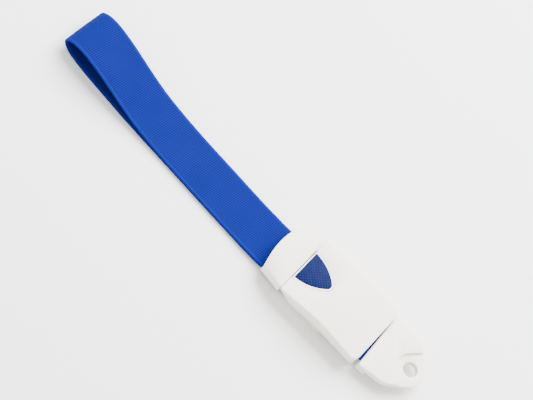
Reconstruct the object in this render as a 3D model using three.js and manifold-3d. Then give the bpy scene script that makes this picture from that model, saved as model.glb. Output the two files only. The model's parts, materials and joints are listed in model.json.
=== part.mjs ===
// Quick-release strap tourniquet: an elastic loop, a two-part clasp and a pull tab.
// Millimetres, +Z up. The origin is the middle of the clasp's flat foot; +X runs from the loop to the tab.
// Lengths along the clasp are given from its seam, where the plug's collar meets the housing.
import * as THREE from "three";
import { mergeVertices } from "three/addons/utils/BufferGeometryUtils.js";
import Module from "manifold-3d";

const wasm = await Module();
wasm.setup();

// Driving dimensions
const GAP = 0.3; // between pieces that touch
const WALL = 1.6; // moulded wall thickness
const FAR = 60; // past the clasp on every side

const HOUSING_LENGTH = 50;
const HOUSING_HEIGHT = 12.3; // top face at the seam
const HOUSING_CROWN = 2.1; // rise of the top face at mid length
const HOUSING_WAIST = 0.016; // share by which the sides pull in at mid length
const NOSE_LENGTH = 8; // the lower sides tuck in over this length at the seam
const NOSE_TUCK = 0.22;
const PARTING = 3.2; // height of the cover's lower edge in the deep half
const PARTING_STEP = 2.4; // how much higher it is in the shallow half
const STEP_AT = 25.5; // where the deep half ends
const SHALLOW_FOOT = 2.2; // underside of the shallow half

const COLLAR_LENGTH = 15;
const COLLAR_MOUTH_RADIUS = 60;
const COLLAR_TAPER = 0.09; // share by which the collar narrows towards its mouth

const STRAP_WIDTH = 25;
const STRAP_THICK = 1.2;
const LAYER_LOW = 1.6; // middle of the lower layer inside the clasp
const LAYER_HIGH = 5.65; // middle of the strap under the jaw and in the tab
const RAMP_START = 18;
const RAMP_END = 25.3;
const STRAP_DRIFT = 0.055; // sideways drift of the loop for each millimetre away from the mouth
const FOLD_SKEW = 0.09; // the near edge of the fold reaches further out

const PIN_AT = 24;
const PIN_HEIGHT = 10;
const PIN_RADIUS = 1.1;
const HUB_RADIUS = 2;
const JAW_HALF = 6;
const EAR_INNER = 6.4;
const EAR_OUTER = 8.4;
const LUG_INNER = 8.8;
const LUG_OUTER = 11.3;
const SLAB = 3.6; // depth of the button below the top face
const BUTTON_TRAVEL = 1.5; // room under the button's edge
const LEG_FOOT = 5.5; // lower end of the button's legs, over the latch leaf

const BAR_AT = -6.5;
const BAR_HEIGHT = 5;
const BAR_RADIUS = 1.2;

const TONGUE_LENGTH = 14;
const TONGUE_HALF = 8;
const TONGUE_LOW = 5;
const TONGUE_HIGH = 7.4;

const TAB_LENGTH = 28.9;
const TAB_HALF = 16.9;
const TAB_LEAN = 0.6; // how much nearer the clasp the tab's near corner stands
const TAB_YAW = 4.2; // degrees, towards +Y
const TAB_SIDEWAYS = 0.7; // how far the tab lies towards +Y
const TAB_TOP = 8.8;
const TAB_FOOT = 3.9;
const HOLE_AT = 21.2;
const HOLE_RADIUS = 3.85;
const LAND_RADIUS = 7.8; // the lowered land round the hole

const SEAM_X = -HOUSING_LENGTH / 2;
const HALF_STRAP = STRAP_WIDTH / 2;
const CHANNEL_HALF = HALF_STRAP + 0.4;

const WHITE = { color: 0xf6f3ec, roughness: 0.42, metalness: 0 };
const BLUE = { color: 0x23378c, roughness: 0.5, metalness: 0 };
const WEBBING = { color: 0x1f4bb8, roughness: 0.9, metalness: 0 };
const THREAD = { color: 0x16307e, roughness: 0.8, metalness: 0 };
const STEEL = { color: 0xb9bcc0, roughness: 0.35, metalness: 1 };

// Solids and meshes

function solidOf(geometry) {
  const bare = geometry.clone();
  bare.deleteAttribute("normal");
  bare.deleteAttribute("uv");
  const merged = mergeVertices(bare, 1e-4);
  return new wasm.Manifold(
    new wasm.Mesh({
      numProp: 3,
      vertProperties: new Float32Array(merged.attributes.position.array),
      triVerts: new Uint32Array(merged.index.array),
    }),
  );
}

function meshOf(name, solid, look) {
  const faces = solid.getMesh();
  const position = new THREE.BufferAttribute(Float32Array.from(faces.vertProperties), 3);
  const geometry = new THREE.BufferGeometry().setAttribute("position", position);
  geometry.setIndex(Array.from(faces.triVerts));
  geometry.computeVertexNormals();
  const mesh = new THREE.Mesh(geometry, new THREE.MeshStandardMaterial(look));
  mesh.name = name;
  return mesh;
}

const join = (...solids) => solids.reduce((a, b) => a.add(b));
const cut = (solid, ...tools) => tools.reduce((a, b) => a.subtract(b), solid);

const polygon = (points) => new THREE.Shape(points.map(([a, b]) => new THREE.Vector2(a, b)));
const mirrored = (half) => polygon([...half, ...half.map(([a, b]) => [-a, b]).reverse()]);

function extrude(shape, depth, steps, curveSegments = 12) {
  return new THREE.ExtrudeGeometry(shape, { depth, steps, curveSegments, bevelEnabled: false });
}

// A section in Y and Z, extruded along the clasp between two distances from the seam.
function along(section, s0, s1, steps = 1) {
  const frame = new THREE.Matrix4().makeBasis(
    new THREE.Vector3(0, 1, 0),
    new THREE.Vector3(0, 0, 1),
    new THREE.Vector3(1, 0, 0),
  );
  return extrude(section, s1 - s0, steps).applyMatrix4(frame).translate(SEAM_X + s0, 0, 0);
}

// A side profile of distance from the seam and height, extruded across from y0 to y1.
function across(profile, y0, y1, steps = 1) {
  const frame = new THREE.Matrix4().makeBasis(
    new THREE.Vector3(1, 0, 0),
    new THREE.Vector3(0, 0, 1),
    new THREE.Vector3(0, -1, 0),
  );
  return extrude(profile, y1 - y0, steps).applyMatrix4(frame).translate(SEAM_X, y1, 0);
}

// A plan outline of distance from the seam and Y, extruded up from z0 to z1.
function upward(outline, z0, z1, curveSegments = 12) {
  return extrude(outline, z1 - z0, 1, curveSegments).translate(SEAM_X, 0, z0);
}

function block(s0, s1, y0, y1, z0, z1) {
  const box = new THREE.BoxGeometry(s1 - s0, y1 - y0, z1 - z0);
  return solidOf(box.translate(SEAM_X + (s0 + s1) / 2, (y0 + y1) / 2, (z0 + z1) / 2));
}

const blocksEachSide = (s0, s1, y0, y1, z0, z1) =>
  join(block(s0, s1, y0, y1, z0, z1), block(s0, s1, -y1, -y0, z0, z1));

function rod(s, z, radius, y0, y1, sides = 24) {
  const cylinder = new THREE.CylinderGeometry(radius, radius, y1 - y0, sides);
  return solidOf(cylinder.translate(SEAM_X + s, (y0 + y1) / 2, z));
}

function reshape(geometry, move) {
  const at = geometry.attributes.position;
  const point = new THREE.Vector3();
  for (let i = 0; i < at.count; i++) {
    move(point.fromBufferAttribute(at, i));
    at.setXYZ(i, point.x, point.y, point.z);
  }
  return geometry;
}

// The housing's body

const crownAt = (s) => (HOUSING_CROWN / 2) * (1 - Math.cos((2 * Math.PI * s) / HOUSING_LENGTH));

// The housing's outer form shrunk by an inset, crowned along its length and waisted at its sides.
function housingForm(inset, s0, s1) {
  const section = mirrored([
    [14.6 - inset, inset],
    [16.3 - inset, 2.6],
    [18.3 - inset, 11.3 - inset],
    [17.5 - inset, HOUSING_HEIGHT - inset],
  ]);
  const form = along(section, s0, s1, Math.max(2, Math.round((s1 - s0) / 2.5)));
  const bent = reshape(form, (p) => {
    const s = p.x - SEAM_X;
    const wave = Math.cos((2 * Math.PI * s) / HOUSING_LENGTH);
    const depth = THREE.MathUtils.clamp(1 - p.z / HOUSING_HEIGHT, 0, 1);
    const nose = THREE.MathUtils.clamp(1 - s / NOSE_LENGTH, 0, 1);
    p.y *= (1 + HOUSING_WAIST * wave) * (1 - NOSE_TUCK * nose * depth);
    if (p.z > PARTING + PARTING_STEP) p.z += crownAt(s);
  });
  return solidOf(bent);
}

// The plan outline rounds the corners at the tab end.
function housingPlan() {
  const corner = 3.5;
  const outline = new THREE.Shape();
  outline.moveTo(-1, -20);
  outline.lineTo(HOUSING_LENGTH - corner - 2, -20);
  outline.lineTo(HOUSING_LENGTH - corner, -18.6);
  outline.absarc(HOUSING_LENGTH - corner, -18.6 + corner, corner, -Math.PI / 2, 0, false);
  outline.absarc(HOUSING_LENGTH - corner, 18.6 - corner, corner, 0, Math.PI / 2, false);
  outline.lineTo(HOUSING_LENGTH - corner - 2, 20);
  outline.lineTo(-1, 20);
  return solidOf(upward(outline, -1, 20, 6));
}

// The parting line steps up where the deep half ends.
const partingProfile = (lift, edge) =>
  polygon([
    [-1, PARTING + lift],
    [STEP_AT, PARTING + lift],
    [STEP_AT + PARTING_STEP, PARTING + PARTING_STEP + lift],
    [HOUSING_LENGTH + 1, PARTING + PARTING_STEP + lift],
    [HOUSING_LENGTH + 1, edge],
    [-1, edge],
  ]);

// The shield's outline from its flat edge at the seam to its tip, grown by a margin.
function shieldOutline(margin, flatEdge) {
  const half = 8.8 + margin;
  const tip = 17.3 + margin;
  const shoulder = Math.max(flatEdge + 0.1, 0.9);
  const outline = new THREE.Shape();
  outline.moveTo(flatEdge, -half);
  outline.lineTo(shoulder, -half);
  outline.bezierCurveTo(8, -half + 0.5, 13.3 + margin, -5.1 - margin / 2, tip - 0.8, -1.9 - margin / 3);
  outline.quadraticCurveTo(tip, -1, tip, 0);
  outline.quadraticCurveTo(tip, 1, tip - 0.8, 1.9 + margin / 3);
  outline.bezierCurveTo(13.3 + margin, 5.1 + margin / 2, 8, half - 0.5, shoulder, half);
  outline.lineTo(flatEdge, half);
  return outline;
}

function housingCover() {
  const shell = housingForm(0, 0, HOUSING_LENGTH).intersect(housingPlan());
  const above = solidOf(across(partingProfile(0, 20), -FAR, FAR));
  const hollow = housingForm(WALL, WALL, HOUSING_LENGTH - WALL);
  const tongueMouth = block(-1, 2, -9, 9, 4.4, 8.2);
  const strapSlot = block(HOUSING_LENGTH - 2, HOUSING_LENGTH + 1, -13.3, 13.3, 4, 7.2);
  const window = solidOf(upward(shieldOutline(1.25, -1), HOUSING_HEIGHT - SLAB - BUTTON_TRAVEL, 20));
  const lugs = blocksEachSide(PIN_AT - 2.4, PIN_AT + 2.4, LUG_INNER, LUG_OUTER, 8, 13.4);
  const bored = cut(
    lugs.intersect(housingForm(WALL / 2, 0.8, HOUSING_LENGTH - 0.8)),
    rod(PIN_AT, PIN_HEIGHT, PIN_RADIUS + 0.15, -FAR, FAR),
  );
  return cut(shell.intersect(above), hollow, tongueMouth, strapSlot, window).add(bored);
}

function housingBase() {
  const below = solidOf(across(partingProfile(-GAP, -1), -FAR, FAR));
  const shell = housingForm(0, 0, HOUSING_LENGTH).intersect(housingPlan()).intersect(below);
  const room = housingForm(WALL + GAP, WALL + GAP, HOUSING_LENGTH - WALL - GAP);
  const rim = block(3, RAMP_START, -14, 14, 2.4, 3.7).intersect(room);
  const spine = join(rim, block(3, RAMP_START, -13, 13, 1, 2.8));
  const sideLugs = blocksEachSide(STEP_AT - 1, STEP_AT + 1.4, 14, 16.4, 1.8, 2.9);
  const shallowSides = blocksEachSide(STEP_AT + 2.8, HOUSING_LENGTH + 1, 14.6, 20, -1, 4.4);
  const underStep = polygon([
    [STEP_AT + 0.8, -1],
    [STEP_AT + SHALLOW_FOOT + 1.2, SHALLOW_FOOT],
    [HOUSING_LENGTH + 1, SHALLOW_FOOT],
    [HOUSING_LENGTH + 1, -1],
  ]);
  const channel = polygon([
    [-1, 0.8],
    [RAMP_START + 1.2, 0.8],
    [RAMP_END + 0.6, 4.7],
    [HOUSING_LENGTH + 1, 4.7],
    [HOUSING_LENGTH + 1, 9],
    [RAMP_START + 0.3, 9],
    [RAMP_START + 0.3, 2.6],
    [-1, 2.6],
  ]);
  const mouthChamfer = polygon([
    [-1, -1],
    [4.5, -1],
    [4.5, 0],
    [1.5, 2.6],
    [-1, 2.6],
  ]);
  return cut(
    join(shell, spine, sideLugs),
    solidOf(across(underStep, -FAR, FAR)),
    shallowSides,
    solidOf(across(channel, -CHANNEL_HALF, CHANNEL_HALF)),
    solidOf(across(mouthChamfer, -FAR, FAR)),
  );
}

// The button, the jaw and what they turn on

function buttonFrame() {
  const outer = housingForm(0, 0.35, HOUSING_LENGTH - 1);
  const slab = cut(outer, housingForm(SLAB, 0, HOUSING_LENGTH));
  const shield = slab.intersect(solidOf(upward(shieldOutline(1, 0.35), 6, 20)));
  const flange = cut(housingForm(WALL + 0.4, 2, 25), housingForm(SLAB, 0, HOUSING_LENGTH));
  const arms = flange.intersect(blocksEachSide(2, PIN_AT, EAR_INNER, EAR_OUTER, 8, 20));
  const bridge = flange.intersect(block(8, 16, -EAR_OUTER, EAR_OUTER, 8, 20));
  const hubs = join(
    rod(PIN_AT, PIN_HEIGHT, HUB_RADIUS, EAR_INNER, EAR_OUTER),
    rod(PIN_AT, PIN_HEIGHT, HUB_RADIUS, -EAR_OUTER, -EAR_INNER),
  );
  const tails = blocksEachSide(PIN_AT, PIN_AT + 6, EAR_INNER, EAR_OUTER, 8.05, 8.5);
  const legs = blocksEachSide(9, 11, EAR_OUTER - 0.1, 10, LEG_FOOT, 10);
  const legArms = flange.intersect(blocksEachSide(8.4, 11.6, EAR_INNER, 10, 8, 20));
  const body = join(shield, arms, bridge, hubs, tails, legs, legArms);
  return cut(
    body,
    solidOf(upward(shieldOutline(0, 0.9), 6, 20)).intersect(cut(outer, housingForm(1, 0, HOUSING_LENGTH))),
    rod(PIN_AT, PIN_HEIGHT, PIN_RADIUS + 0.15, -FAR, FAR),
  );
}

function buttonInlay() {
  const skin = cut(housingForm(-0.05, 0, HOUSING_LENGTH), housingForm(0.75, 0, HOUSING_LENGTH));
  return skin.intersect(solidOf(upward(shieldOutline(-0.12, 1.02), 6, 20)));
}

function clampJaw() {
  const arm = polygon([
    [PIN_AT - 1, PIN_HEIGHT - 1.6],
    [PIN_AT + 2, PIN_HEIGHT - 1.7],
    [PIN_AT + 3.8, 6.5],
    [PIN_AT + 4.5, 7.1],
    [PIN_AT + 5, 6.5],
    [PIN_AT + 5.7, 7.1],
    [PIN_AT + 6.2, 6.5],
    [PIN_AT + 6.9, 7.1],
    [PIN_AT + 7.4, 6.5],
    [PIN_AT + 8.2, 8.2],
    [PIN_AT + 7, 10.2],
    [PIN_AT + 2, 11.6],
    [PIN_AT - 1, 11.6],
  ]);
  const lever = join(
    solidOf(across(arm, -JAW_HALF, JAW_HALF)),
    rod(PIN_AT, PIN_HEIGHT, HUB_RADIUS, -JAW_HALF, JAW_HALF),
    rod(PIN_AT + 4.6, PIN_HEIGHT - 0.3, 0.85, -EAR_OUTER, EAR_OUTER, 16),
  );
  const springWindow = block(PIN_AT - 3, PIN_AT + 2.4, -2.3, 2.3, 6, 14);
  return cut(lever, springWindow, rod(PIN_AT, PIN_HEIGHT, PIN_RADIUS + 0.15, -FAR, FAR));
}

const rockerPin = () => rod(PIN_AT, PIN_HEIGHT, PIN_RADIUS, -LUG_OUTER + 0.1, LUG_OUTER - 0.1);

// Torsion spring: three turns round the pin with a leg on the jaw and a leg under the cover.
function jawSpring() {
  const coil = 1.72;
  const wire = 0.27;
  const turns = 3;
  const pitch = 1.1;
  const points = [new THREE.Vector3(PIN_AT - 4, (-turns * pitch) / 2, PIN_HEIGHT + coil)];
  const perTurn = 14;
  for (let i = 0; i <= turns * perTurn; i++) {
    const angle = Math.PI / 2 - (2 * Math.PI * i) / perTurn;
    const y = (i / perTurn - turns / 2) * pitch;
    points.push(
      new THREE.Vector3(PIN_AT + coil * Math.cos(angle), y, PIN_HEIGHT + coil * Math.sin(angle)),
    );
  }
  points.push(new THREE.Vector3(PIN_AT + 4, (turns * pitch) / 2, PIN_HEIGHT + coil + 0.4));
  return wireAlong(points, wire, points.length * 2, 6);
}

function wireAlong(points, radius, steps, sides) {
  const section = new THREE.Shape().absarc(0, 0, radius, 0, 2 * Math.PI, false);
  const extrudePath = new THREE.CatmullRomCurve3(points);
  const curveSegments = sides;
  const tube = new THREE.ExtrudeGeometry(section, { steps, curveSegments, extrudePath, bevelEnabled: false });
  return solidOf(tube.translate(SEAM_X, 0, 0));
}

// Steel leaf: clamped at the ramp end, with a catch that stands up in the tongue's window.
function latchSpring() {
  const leaf = polygon([
    [16.8, 3.95],
    [16.8, 4.3],
    [14.5, 4.3],
    [8, 4.8],
    [8, 4.45],
    [14.5, 3.95],
  ]);
  const plate = solidOf(across(leaf, -10, 10));
  const reliefs = blocksEachSide(11.6, 14.2, 5, 8.2, 3, 6);
  const catchTooth = block(9, 9.5, -4, 4, 4.5, 6.8);
  return cut(plate, reliefs).add(catchTooth);
}

// The plug: hood, flange, tongue and the bar that holds the strap's fixed end

function collarForm(inset, s0, s1) {
  const section = mirrored([
    [15.8 - inset, 2.5],
    [18.6 - inset, 10.9 - inset],
    [17.4 - inset, HOUSING_HEIGHT - inset],
    [9 - inset, HOUSING_HEIGHT + 0.3 - inset],
  ]);
  const form = along(section, s0, s1, 6);
  const narrowed = reshape(form, (p) => {
    const share = -(p.x - SEAM_X) / COLLAR_LENGTH;
    p.y *= 1 - COLLAR_TAPER * share;
    if (p.z > 5) p.z -= 0.6 * share * share;
  });
  return solidOf(narrowed);
}

function collarPlan(pull) {
  const radius = COLLAR_MOUTH_RADIUS;
  const outline = new THREE.Shape();
  const apex = -COLLAR_LENGTH + pull;
  const sweep = Math.asin(20 / radius);
  outline.moveTo(1, -20);
  outline.lineTo(1, 20);
  outline.absarc(apex + radius, 0, radius, Math.PI - sweep, Math.PI + sweep, false);
  return solidOf(upward(outline, -1, 20, 14));
}

function collarHood() {
  const outer = collarForm(0, -COLLAR_LENGTH, -GAP).intersect(collarPlan(0));
  const inside = collarForm(WALL, -COLLAR_LENGTH - 1, 0);
  const under = block(-COLLAR_LENGTH - 1, 0, -15, 15, 0, 3);
  return cut(outer, inside, under.intersect(collarForm(WALL, -COLLAR_LENGTH - 1, 0)));
}

function plugBody() {
  const fit = collarForm(WALL + GAP, -COLLAR_LENGTH, -GAP);
  const flange = block(-2.2, -GAP, -20, 20, 2.5, 20).intersect(fit);
  const cheeks = blocksEachSide(-10, -2, HALF_STRAP + 0.5, 20, 2.5, 9).intersect(fit);
  const nose = polygon([
    [-1, -TONGUE_HALF],
    [TONGUE_LENGTH - 2, -TONGUE_HALF],
    [TONGUE_LENGTH, -TONGUE_HALF + 2],
    [TONGUE_LENGTH, TONGUE_HALF - 2],
    [TONGUE_LENGTH - 2, TONGUE_HALF],
    [-1, TONGUE_HALF],
  ]);
  const tongue = solidOf(upward(nose, TONGUE_LOW + 0.3, TONGUE_HIGH));
  const root = block(-1, 0.9, -TONGUE_HALF - 0.4, TONGUE_HALF + 0.4, TONGUE_LOW, TONGUE_HIGH);
  const latchWindow = block(8.7, 11.6, -4.6, 4.6, 4, 9);
  return cut(
    join(flange, cheeks, tongue, root),
    latchWindow,
    rod(BAR_AT, BAR_HEIGHT, BAR_RADIUS + 0.25, -FAR, FAR),
  );
}

const anchorBar = () => rod(BAR_AT, BAR_HEIGHT, BAR_RADIUS, -13.5, 13.5);

// The strap

// A closed profile of even thickness about a centre line of distances and heights.
function stripProfile(centre) {
  const sides = [[], []];
  centre.forEach((p, i) => {
    const before = centre[Math.max(0, i - 1)];
    const after = centre[Math.min(centre.length - 1, i + 1)];
    const run = new THREE.Vector2().subVectors(after, before).normalize();
    const offset = new THREE.Vector2(-run.y, run.x).multiplyScalar(STRAP_THICK / 2);
    sides[0].push(new THREE.Vector2().addVectors(p, offset));
    sides[1].push(new THREE.Vector2().subVectors(p, offset));
  });
  return new THREE.Shape([...sides[1], ...sides[0].reverse()]);
}

const v2 = (s, z) => new THREE.Vector2(s, z);

// The loop: sewn end, round the bar, out over the top, the teardrop fold, and back along the floor.
function loopCentre() {
  const wrap = BAR_RADIUS + 0.25 + STRAP_THICK / 2;
  const turn = (degrees) => {
    const angle = THREE.MathUtils.degToRad(degrees);
    return v2(BAR_AT + wrap * Math.cos(angle), BAR_HEIGHT + wrap * Math.sin(angle));
  };
  const main = BAR_HEIGHT - wrap;
  const inside = [v2(-12, 4.45), v2(-9.9, 4.5), v2(-8.6, 5.4)];
  for (let degrees = 115; degrees >= -90; degrees -= 20.5) inside.push(turn(degrees));
  inside.push(v2(-10, main), v2(-14.5, main));
  const outside = new THREE.SplineCurve([
    v2(-14.5, main),
    v2(-24, 2.5),
    v2(-36, 1.95),
    v2(-60, 1.95),
    v2(-80, 1.95),
    v2(-98, 2.05),
    v2(-108, 3.2),
    v2(-119, 6.4),
    v2(-130, 10.1),
    v2(-140, 12.7),
    v2(-148, 13.2),
    v2(-154.5, 11),
    v2(-157.8, 6.6),
    v2(-154.5, 2.5),
    v2(-146, 0.9),
    v2(-134, 0.65),
    v2(-100, 0.65),
    v2(-36, 0.65),
    v2(-24, 0.95),
    v2(-13, LAYER_LOW),
  ]).getPoints(76);
  return [...inside, ...outside.slice(1), v2(-6, LAYER_LOW), v2(RAMP_START - GAP, LAYER_LOW)];
}

function strapLoop() {
  const sheet = across(stripProfile(loopCentre()), -HALF_STRAP, HALF_STRAP, 2);
  const mouth = SEAM_X - COLLAR_LENGTH - 4;
  const drifted = reshape(sheet, (p) => {
    const out = Math.max(0, mouth - p.x);
    const fold = THREE.MathUtils.smoothstep(out, 90, 138);
    p.x += FOLD_SKEW * p.y * fold;
    p.y += STRAP_DRIFT * out;
  });
  return solidOf(drifted);
}

const flatStrap = (points) => solidOf(across(stripProfile(points), -HALF_STRAP, HALF_STRAP));

const strapRamp = () =>
  flatStrap([
    v2(RAMP_START, LAYER_LOW),
    v2(RAMP_START + 0.7, LAYER_LOW + 0.1),
    v2(RAMP_END - 1, LAYER_HIGH - 0.1),
    v2(RAMP_END, LAYER_HIGH),
  ]);

const strapTail = () =>
  flatStrap([v2(RAMP_END + GAP, LAYER_HIGH), v2(HOUSING_LENGTH + 13, LAYER_HIGH)]);

// One zigzag run of thread across the sewn end.
function strapStitching() {
  const half = HALF_STRAP - 1.5;
  const teeth = 12;
  const edge = (shift) =>
    Array.from({ length: 2 * teeth + 1 }, (_, i) => [
      -11.4 + shift + (i % 2) * 0.9,
      -half + (i * half) / teeth,
    ]);
  const outline = polygon([...edge(0.35), ...edge(0).reverse()]);
  return solidOf(upward(outline, 5.35, 5.6));
}

// The pull tab, in its own frame: t along it from the front edge, w across

function tabOutline() {
  const end = TAB_LENGTH - 10.9;
  const outline = new THREE.Shape();
  outline.moveTo(-TAB_LEAN, -TAB_HALF + 1);
  outline.quadraticCurveTo(-TAB_LEAN, -TAB_HALF, 1 - TAB_LEAN, -TAB_HALF);
  outline.lineTo(8, -TAB_HALF + 0.5);
  outline.bezierCurveTo(16, -15.7, 16, -15.4, 21.4, -10.9);
  outline.absarc(end, 0, 10.9, -1.12, 1.12, false);
  outline.bezierCurveTo(16, 15.4, 16, 15.7, 8, TAB_HALF - 0.5);
  outline.lineTo(1, TAB_HALF);
  outline.quadraticCurveTo(0, TAB_HALF, 0, TAB_HALF - 1);
  return outline;
}

function landOutline() {
  const leg = LAND_RADIUS * Math.SQRT1_2;
  const reach = 8.5;
  const outline = new THREE.Shape();
  outline.moveTo(HOLE_AT - leg + reach, leg + reach);
  outline.lineTo(HOLE_AT - leg, leg);
  outline.absarc(HOLE_AT, 0, LAND_RADIUS, 0.75 * Math.PI, 1.25 * Math.PI, false);
  outline.lineTo(HOLE_AT - leg + reach, -leg - reach);
  outline.lineTo(TAB_LENGTH + 2, -leg - reach);
  outline.lineTo(TAB_LENGTH + 2, leg + reach);
  return outline;
}

function tabSlab(outline, z0, z1) {
  return solidOf(extrude(outline, z1 - z0, 1, 10).translate(0, 0, z0));
}

function tabBlock(t0, t1, w0, w1, z0, z1) {
  return block(t0, t1, w0, w1, z0, z1).translate([-SEAM_X, 0, 0]);
}

function tabHole() {
  const circle = new THREE.Shape().absarc(HOLE_AT, 0, HOLE_RADIUS, 0, 2 * Math.PI, false);
  return solidOf(extrude(circle, 20, 1, 32));
}

function tabTeeth(z0, z1) {
  return [3.5, 6.5, 9.5].map((t) => tabBlock(t, t + 0.8, -12, 12, z0, z1)).reduce((a, b) => a.add(b));
}

function tabCover() {
  const split = LAYER_HIGH + GAP / 2;
  const slab = tabSlab(tabOutline(), split, TAB_TOP);
  const pocket = tabBlock(-1, 13, -14.5, 13.7, 4, LAYER_HIGH + 0.95);
  const land = tabSlab(landOutline(), TAB_TOP - 1.4, TAB_TOP + 1);
  return cut(slab, pocket, land, tabHole()).add(tabTeeth(LAYER_HIGH + 0.7, LAYER_HIGH + 1.2));
}

function tabBase() {
  const split = LAYER_HIGH - GAP / 2;
  const inset = tabSlab(tabOutline(), TAB_FOOT, split).scale([0.965, 0.93, 1]);
  const front = tabSlab(tabOutline(), TAB_FOOT, split).intersect(tabBlock(-2, 4.6, -20, 20, 0, 20));
  const slab = inset.add(front);
  const chin = tabBlock(0.2, 4.6, -15.6, 15.6, TAB_FOOT - 1, TAB_FOOT + 0.3);
  const pocket = tabBlock(-1, 13, -14.5, 13.7, LAYER_HIGH - 0.95, 9);
  return cut(join(slab, chin), pocket, tabHole()).add(tabTeeth(LAYER_HIGH - 1.2, LAYER_HIGH - 0.7));
}

// The assembly

const tourniquet = new THREE.Group();

tourniquet.add(
  meshOf("housing_cover", housingCover(), WHITE),
  meshOf("housing_base", housingBase(), WHITE),
  meshOf("rocker_pin", rockerPin(), STEEL),
  meshOf("latch_spring", latchSpring(), STEEL),
  meshOf("jaw_spring", jawSpring(), STEEL),
  meshOf("clamp_jaw", clampJaw(), WHITE),
  meshOf("button_frame", buttonFrame(), WHITE),
  meshOf("button_inlay", buttonInlay(), BLUE),
  meshOf("collar_hood", collarHood(), WHITE),
  meshOf("plug_body", plugBody(), WHITE),
  meshOf("anchor_bar", anchorBar(), STEEL),
  meshOf("strap_loop", strapLoop(), WEBBING),
  meshOf("strap_stitching", strapStitching(), THREAD),
  meshOf("strap_ramp", strapRamp(), WEBBING),
  meshOf("strap_tail", strapTail(), WEBBING),
);

const tab = new THREE.Group();
tab.rotation.z = THREE.MathUtils.degToRad(TAB_YAW);
const tabSetback = TAB_HALF * Math.sin(tab.rotation.z);
tab.position.x = SEAM_X + HOUSING_LENGTH + GAP + tabSetback;
tab.position.y = TAB_SIDEWAYS;
tab.add(meshOf("tab_cover", tabCover(), WHITE), meshOf("tab_base", tabBase(), WHITE));
tourniquet.add(tab);

export default tourniquet;
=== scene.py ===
"""A quick-release strap tourniquet: moulded clasp, elastic webbing and pull tab, round their frame."""
import json
import math

import bmesh
import bpy
from bpy.props import FloatProperty, FloatVectorProperty, IntProperty, PointerProperty
from mathutils import Matrix, Vector


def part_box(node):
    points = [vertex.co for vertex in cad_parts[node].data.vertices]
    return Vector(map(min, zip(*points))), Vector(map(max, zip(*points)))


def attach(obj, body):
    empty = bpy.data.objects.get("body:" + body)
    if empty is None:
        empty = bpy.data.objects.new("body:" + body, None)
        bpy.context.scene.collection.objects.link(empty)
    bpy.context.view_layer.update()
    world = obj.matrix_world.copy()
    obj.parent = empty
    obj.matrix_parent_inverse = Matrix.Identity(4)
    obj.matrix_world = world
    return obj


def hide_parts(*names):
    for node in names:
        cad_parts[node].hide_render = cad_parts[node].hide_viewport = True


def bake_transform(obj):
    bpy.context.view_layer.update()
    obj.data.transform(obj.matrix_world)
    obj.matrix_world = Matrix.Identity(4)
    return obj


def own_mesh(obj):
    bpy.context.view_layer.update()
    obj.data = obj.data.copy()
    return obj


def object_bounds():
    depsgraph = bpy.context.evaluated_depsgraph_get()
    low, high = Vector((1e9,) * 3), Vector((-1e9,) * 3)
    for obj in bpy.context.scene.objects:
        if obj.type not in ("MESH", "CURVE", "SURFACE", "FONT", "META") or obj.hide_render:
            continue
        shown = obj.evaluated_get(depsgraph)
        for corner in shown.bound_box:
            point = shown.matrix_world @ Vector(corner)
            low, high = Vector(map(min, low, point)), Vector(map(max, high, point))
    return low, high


bl_info = {
    "name": "Strap tourniquet",
    "version": (1, 0, 0),
    "blender": (4, 5, 0),
    "location": "3D View > Sidebar > Tourniquet",
    "description": "Models the clasp, webbing and pull tab of a quick-release tourniquet",
    "category": "Add Mesh",
}

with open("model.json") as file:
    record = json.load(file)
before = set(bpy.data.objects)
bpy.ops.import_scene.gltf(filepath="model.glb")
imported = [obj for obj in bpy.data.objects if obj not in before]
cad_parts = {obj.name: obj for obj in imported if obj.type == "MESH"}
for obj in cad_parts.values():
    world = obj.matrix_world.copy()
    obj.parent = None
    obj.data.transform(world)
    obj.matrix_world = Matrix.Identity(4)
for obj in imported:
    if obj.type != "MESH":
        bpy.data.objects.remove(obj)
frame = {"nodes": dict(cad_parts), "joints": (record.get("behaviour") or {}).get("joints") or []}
CAD_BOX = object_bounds()
MM = 0.001

# Shapes are worked out in millimetres. Distances along the clasp are from its seam, towards the pull tab.
COVER_LOW, COVER_HIGH = (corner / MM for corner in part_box("housing_cover"))
HOOD_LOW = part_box("collar_hood")[0] / MM
TAIL_LOW, TAIL_HIGH = (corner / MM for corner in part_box("strap_tail"))
TAB_LOW, TAB_HIGH = (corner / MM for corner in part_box("tab_cover"))
CHIN_LOW, CHIN_HIGH = (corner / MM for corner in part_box("tab_base"))
SEAM = COVER_LOW.x
HOUSING_LENGTH = COVER_HIGH.x - COVER_LOW.x
STRAP_WIDTH = TAIL_HIGH.y - TAIL_LOW.y
STRAP_THICK = TAIL_HIGH.z - TAIL_LOW.z

# Cutters start and end this far beyond what they cut.
BEYOND = 1
WIDE_BEYOND = 30
# Vertices nearer than these are one, in metres: after a cut, and along an open edge.
SAME_POINT = 0.000003
SAME_EDGE_POINT = 0.00001
FLAT_JOIN = math.radians(0.5)
SHARP = math.radians(40)


# Settings


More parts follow.
